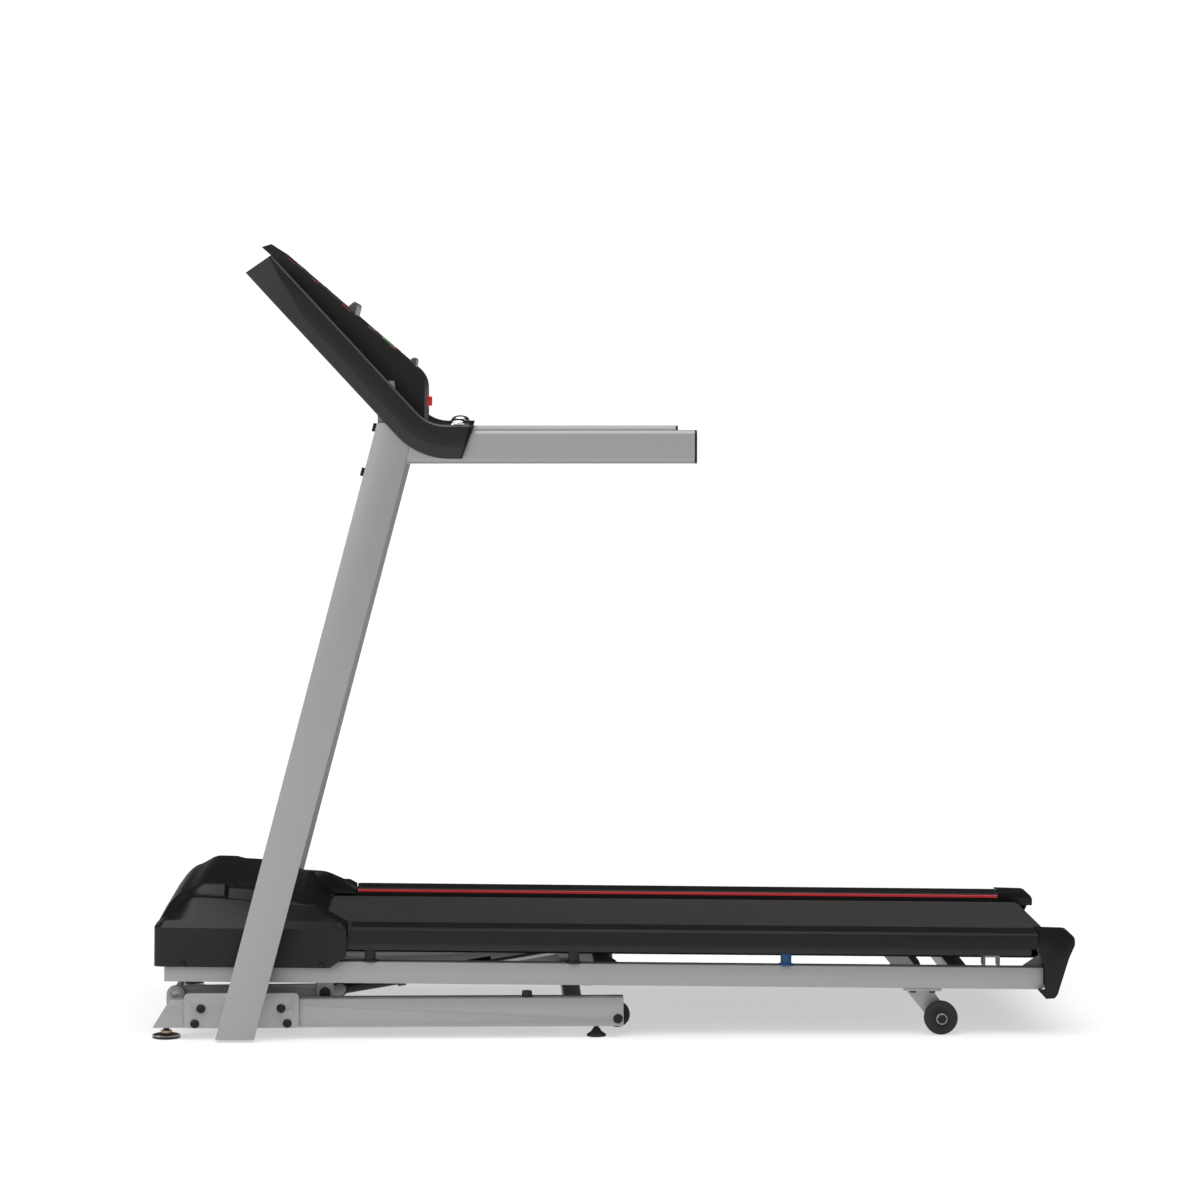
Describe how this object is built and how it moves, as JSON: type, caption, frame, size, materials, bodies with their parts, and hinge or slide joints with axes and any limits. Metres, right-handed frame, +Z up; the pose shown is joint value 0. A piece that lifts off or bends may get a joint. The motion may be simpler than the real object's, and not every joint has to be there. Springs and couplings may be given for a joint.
{
  "type": "treadmill",
  "caption": "Folding treadmill with slanted uprights, side handrails, angled console, hooded drive motor, cushioned belt deck, powered incline and a gas fold strut.",
  "frame": {"origin": "on the floor, in the middle of the outline", "axes": "+X from the console towards the tail, +Y to the runner's right side, +Z up"},
  "size_m": [1.5147, 0.712, 1.297],
  "materials": {
    "grey_powder_coat": "satin",
    "black_fastener": "satin",
    "cover_plastic": "matt, fine texture",
    "face_plastic": "matt",
    "hood_plastic": "satin",
    "screen": "gloss",
    "ledge_grey": "satin",
    "chrome_dome": "polished",
    "red_plastic": "gloss",
    "green_plastic": "gloss",
    "black_rubber": "matt",
    "blue_rubber": "matt",
    "belt_pvc": "matt, woven print",
    "board_wood": "waxed black laminate",
    "foot_metal": "satin",
    "steel": "turned",
    "black_paint": "satin",
    "circuit_green": "matt",
    "bush_brass": "satin",
    "rail_plastic": "satin, ribbed"
  },
  "bodies": {
    "base": {"base_tube_left": "grey_powder_coat", "base_tube_right": "grey_powder_coat", "base_crossbars": "grey_powder_coat", "frame_bolts": "black_fastener", "upright_left": "grey_powder_coat", "upright_right": "grey_powder_coat", "handrail_left": "grey_powder_coat", "handrail_right": "grey_powder_coat", "handrail_caps": "face_plastic", "levelling_feet": "foot_metal", "rear_feet": "black_rubber", "bumpers": "black_rubber", "console_frame": "grey_powder_coat", "console_back": "cover_plastic", "console_face": "face_plastic", "side_cover_left": "cover_plastic", "side_cover_right": "cover_plastic", "display_window": "screen", "tablet_ledge": "ledge_grey", "pulse_sensors": "chrome_dome"},
    "fold_shaft": {"fold_shaft": "steel"},
    "lift_frame": {"lift_frame": "grey_powder_coat"},
    "deck": {"deck_rail_left": "grey_powder_coat", "deck_rail_right": "grey_powder_coat", "deck_crossbars": "grey_powder_coat", "deck_bolts": "black_fastener", "deck_board": "board_wood", "running_belt": "belt_pvc", "foot_rail_left": "rail_plastic", "foot_rail_right": "rail_plastic", "end_cap_left": "hood_plastic", "end_cap_right": "hood_plastic", "motor_hood": "hood_plastic", "drive_motor": "black_paint", "drive_belt": "black_rubber", "controller_box": "circuit_green", "power_inlet": "face_plastic", "dampers": "black_rubber", "soft_dampers": "blue_rubber", "wheel_arms": "grey_powder_coat"},
    "front_roller": {"front_roller": "steel"},
    "rear_roller": {"rear_roller": "steel"},
    "motor_shaft": {"motor_pulley": "steel"},
    "rear_wheel_left": {"rear_wheel_left": "black_rubber"},
    "rear_wheel_right": {"rear_wheel_right": "black_rubber"},
    "transport_wheel_left": {"transport_wheel_left": "black_rubber"},
    "transport_wheel_right": {"transport_wheel_right": "black_rubber"},
    "start_button": {"start_button": "green_plastic"},
    "stop_button": {"stop_button": "red_plastic"},
    "speed_rocker": {"speed_rocker": "ledge_grey"},
    "incline_rocker": {"incline_rocker": "ledge_grey"},
    "safety_key": {"safety_key": "red_plastic"},
    "power_switch": {"power_switch": "red_plastic"},
    "lift_motor": {"lift_motor": "black_paint"},
    "lift_screw": {"lift_screw": "steel"},
    "strut_bush": {"strut_bush": "bush_brass"},
    "strut_cylinder": {"strut_cylinder": "black_paint"},
    "strut_rod": {"strut_piston": "steel", "strut_rod": "steel"},
    "strut_latch": {"strut_latch": "red_plastic"}
  },
  "joints": [
    {"name": "deck_fold", "type": "hinge", "parent": "base", "child": "fold_shaft", "pos_m": [-0.72, 0, 0.068], "axis": [0, -1, 0], "range_deg": [0, 55]},
    {"name": "incline", "type": "hinge", "parent": "fold_shaft", "child": "lift_frame", "pos_m": [-0.72, 0, 0.068], "axis": [0, -1, 0], "range_deg": [0, 20]},
    {"name": "incline_pitch", "type": "hinge", "parent": "lift_frame", "child": "deck", "pos_m": [-0.47496, 0, 0.06979], "axis": [0, 1, 0], "range_deg": [0, 24.95]},
    {"name": "belt_run", "type": "hinge", "parent": "deck", "child": "front_roller", "pos_m": [-0.5289, 0, 0.15101], "axis": [0, 1, 0], "continuous": true},
    {"name": "rear_roller_spin", "type": "hinge", "parent": "deck", "child": "rear_roller", "pos_m": [0.721, 0, 0.13464], "axis": [0, 1, 0], "continuous": true},
    {"name": "motor_spin", "type": "hinge", "parent": "deck", "child": "motor_shaft", "pos_m": [-0.65659, 0, 0.17518], "axis": [0, 1, 0], "continuous": true},
    {"name": "rear_wheel_left_spin", "type": "hinge", "parent": "deck", "child": "rear_wheel_left", "pos_m": [0.53858, -0.292, 0.0275], "axis": [0, 1, 0], "continuous": true},
    {"name": "rear_wheel_right_spin", "type": "hinge", "parent": "deck", "child": "rear_wheel_right", "pos_m": [0.53858, 0.292, 0.0275], "axis": [0, 1, 0], "continuous": true},
    {"name": "transport_wheel_left_spin", "type": "hinge", "parent": "base", "child": "transport_wheel_left", "pos_m": [0.006, -0.262, 0.031], "axis": [0, 1, 0], "continuous": true},
    {"name": "transport_wheel_right_spin", "type": "hinge", "parent": "base", "child": "transport_wheel_right", "pos_m": [0.006, 0.262, 0.031], "axis": [0, 1, 0], "continuous": true},
    {"name": "start_press", "type": "slide", "parent": "base", "child": "start_button", "axis": [-0.6521, 0, -0.7581], "range_m": [0, 0.002], "stiffness_N_per_m": 400},
    {"name": "stop_press", "type": "slide", "parent": "base", "child": "stop_button", "axis": [-0.6521, 0, -0.7581], "range_m": [0, 0.002], "stiffness_N_per_m": 400},
    {"name": "speed_rock", "type": "hinge", "parent": "base", "child": "speed_rocker", "pos_m": [-0.38263, 0.12, 1.14702], "axis": [0, 1, 0], "range_deg": [-5, 5], "stiffness_Nm_per_rad": 0.6},
    {"name": "incline_rock", "type": "hinge", "parent": "base", "child": "incline_rocker", "pos_m": [-0.38263, -0.12, 1.14702], "axis": [0, 1, 0], "range_deg": [-5, 5], "stiffness_Nm_per_rad": 0.6},
    {"name": "key_pull", "type": "slide", "parent": "base", "child": "safety_key", "axis": [1, 0, 0], "range_m": [0, 0.025]},
    {"name": "power_rock", "type": "hinge", "parent": "deck", "child": "power_switch", "pos_m": [-0.7489, -0.22, 0.15238], "axis": [0, 1, 0], "range_deg": [0, 12]},
    {"name": "lift_motor_swing", "type": "hinge", "parent": "deck", "child": "lift_motor", "pos_m": [-0.57015, 0, 0.20805], "axis": [0, -1, 0], "range_deg": [0, 2.2]},
    {"name": "lift_screw_extend", "type": "slide", "parent": "lift_motor", "child": "lift_screw", "axis": [-0.0131, 0, -0.9999], "range_m": [0, 0.04235]},
    {"name": "strut_fold_swing", "type": "hinge", "parent": "base", "child": "strut_bush", "pos_m": [-0.459, 0, 0.038], "axis": [0, -1, 0], "range_deg": [0, 72.94]},
    {"name": "strut_incline_swing", "type": "hinge", "parent": "strut_bush", "child": "strut_cylinder", "pos_m": [-0.459, 0, 0.038], "axis": [0, -1, 0], "range_deg": [0, 8.15]},
    {"name": "strut_extend", "type": "slide", "parent": "strut_cylinder", "child": "strut_rod", "axis": [0.9863, 0, 0.1649], "range_m": [0, 0.19544]},
    {"name": "latch_lift", "type": "hinge", "parent": "strut_cylinder", "child": "strut_latch", "pos_m": [-0.3584, 0, 0.07307], "axis": [0, -1, 0], "range_deg": [0, 14], "stiffness_Nm_per_rad": 0.3}
  ],
  "couplings": [
    {"joint": "incline_pitch", "follows": "incline", "ratio": 1.2373},
    {"joint": "rear_roller_spin", "follows": "belt_run", "ratio": 1},
    {"joint": "motor_spin", "follows": "belt_run", "ratio": 1.8235},
    {"joint": "lift_motor_swing", "follows": "incline", "ratio": 0.099945},
    {"joint": "lift_screw_extend", "follows": "incline", "m_per_rad": 0.11846},
    {"joint": "strut_fold_swing", "follows": "deck_fold", "ratio": 1.3208},
    {"joint": "strut_extend", "follows": "deck_fold", "m_per_rad": 0.20256},
    {"joint": "strut_incline_swing", "follows": "incline", "ratio": 0.39254}
  ]
}
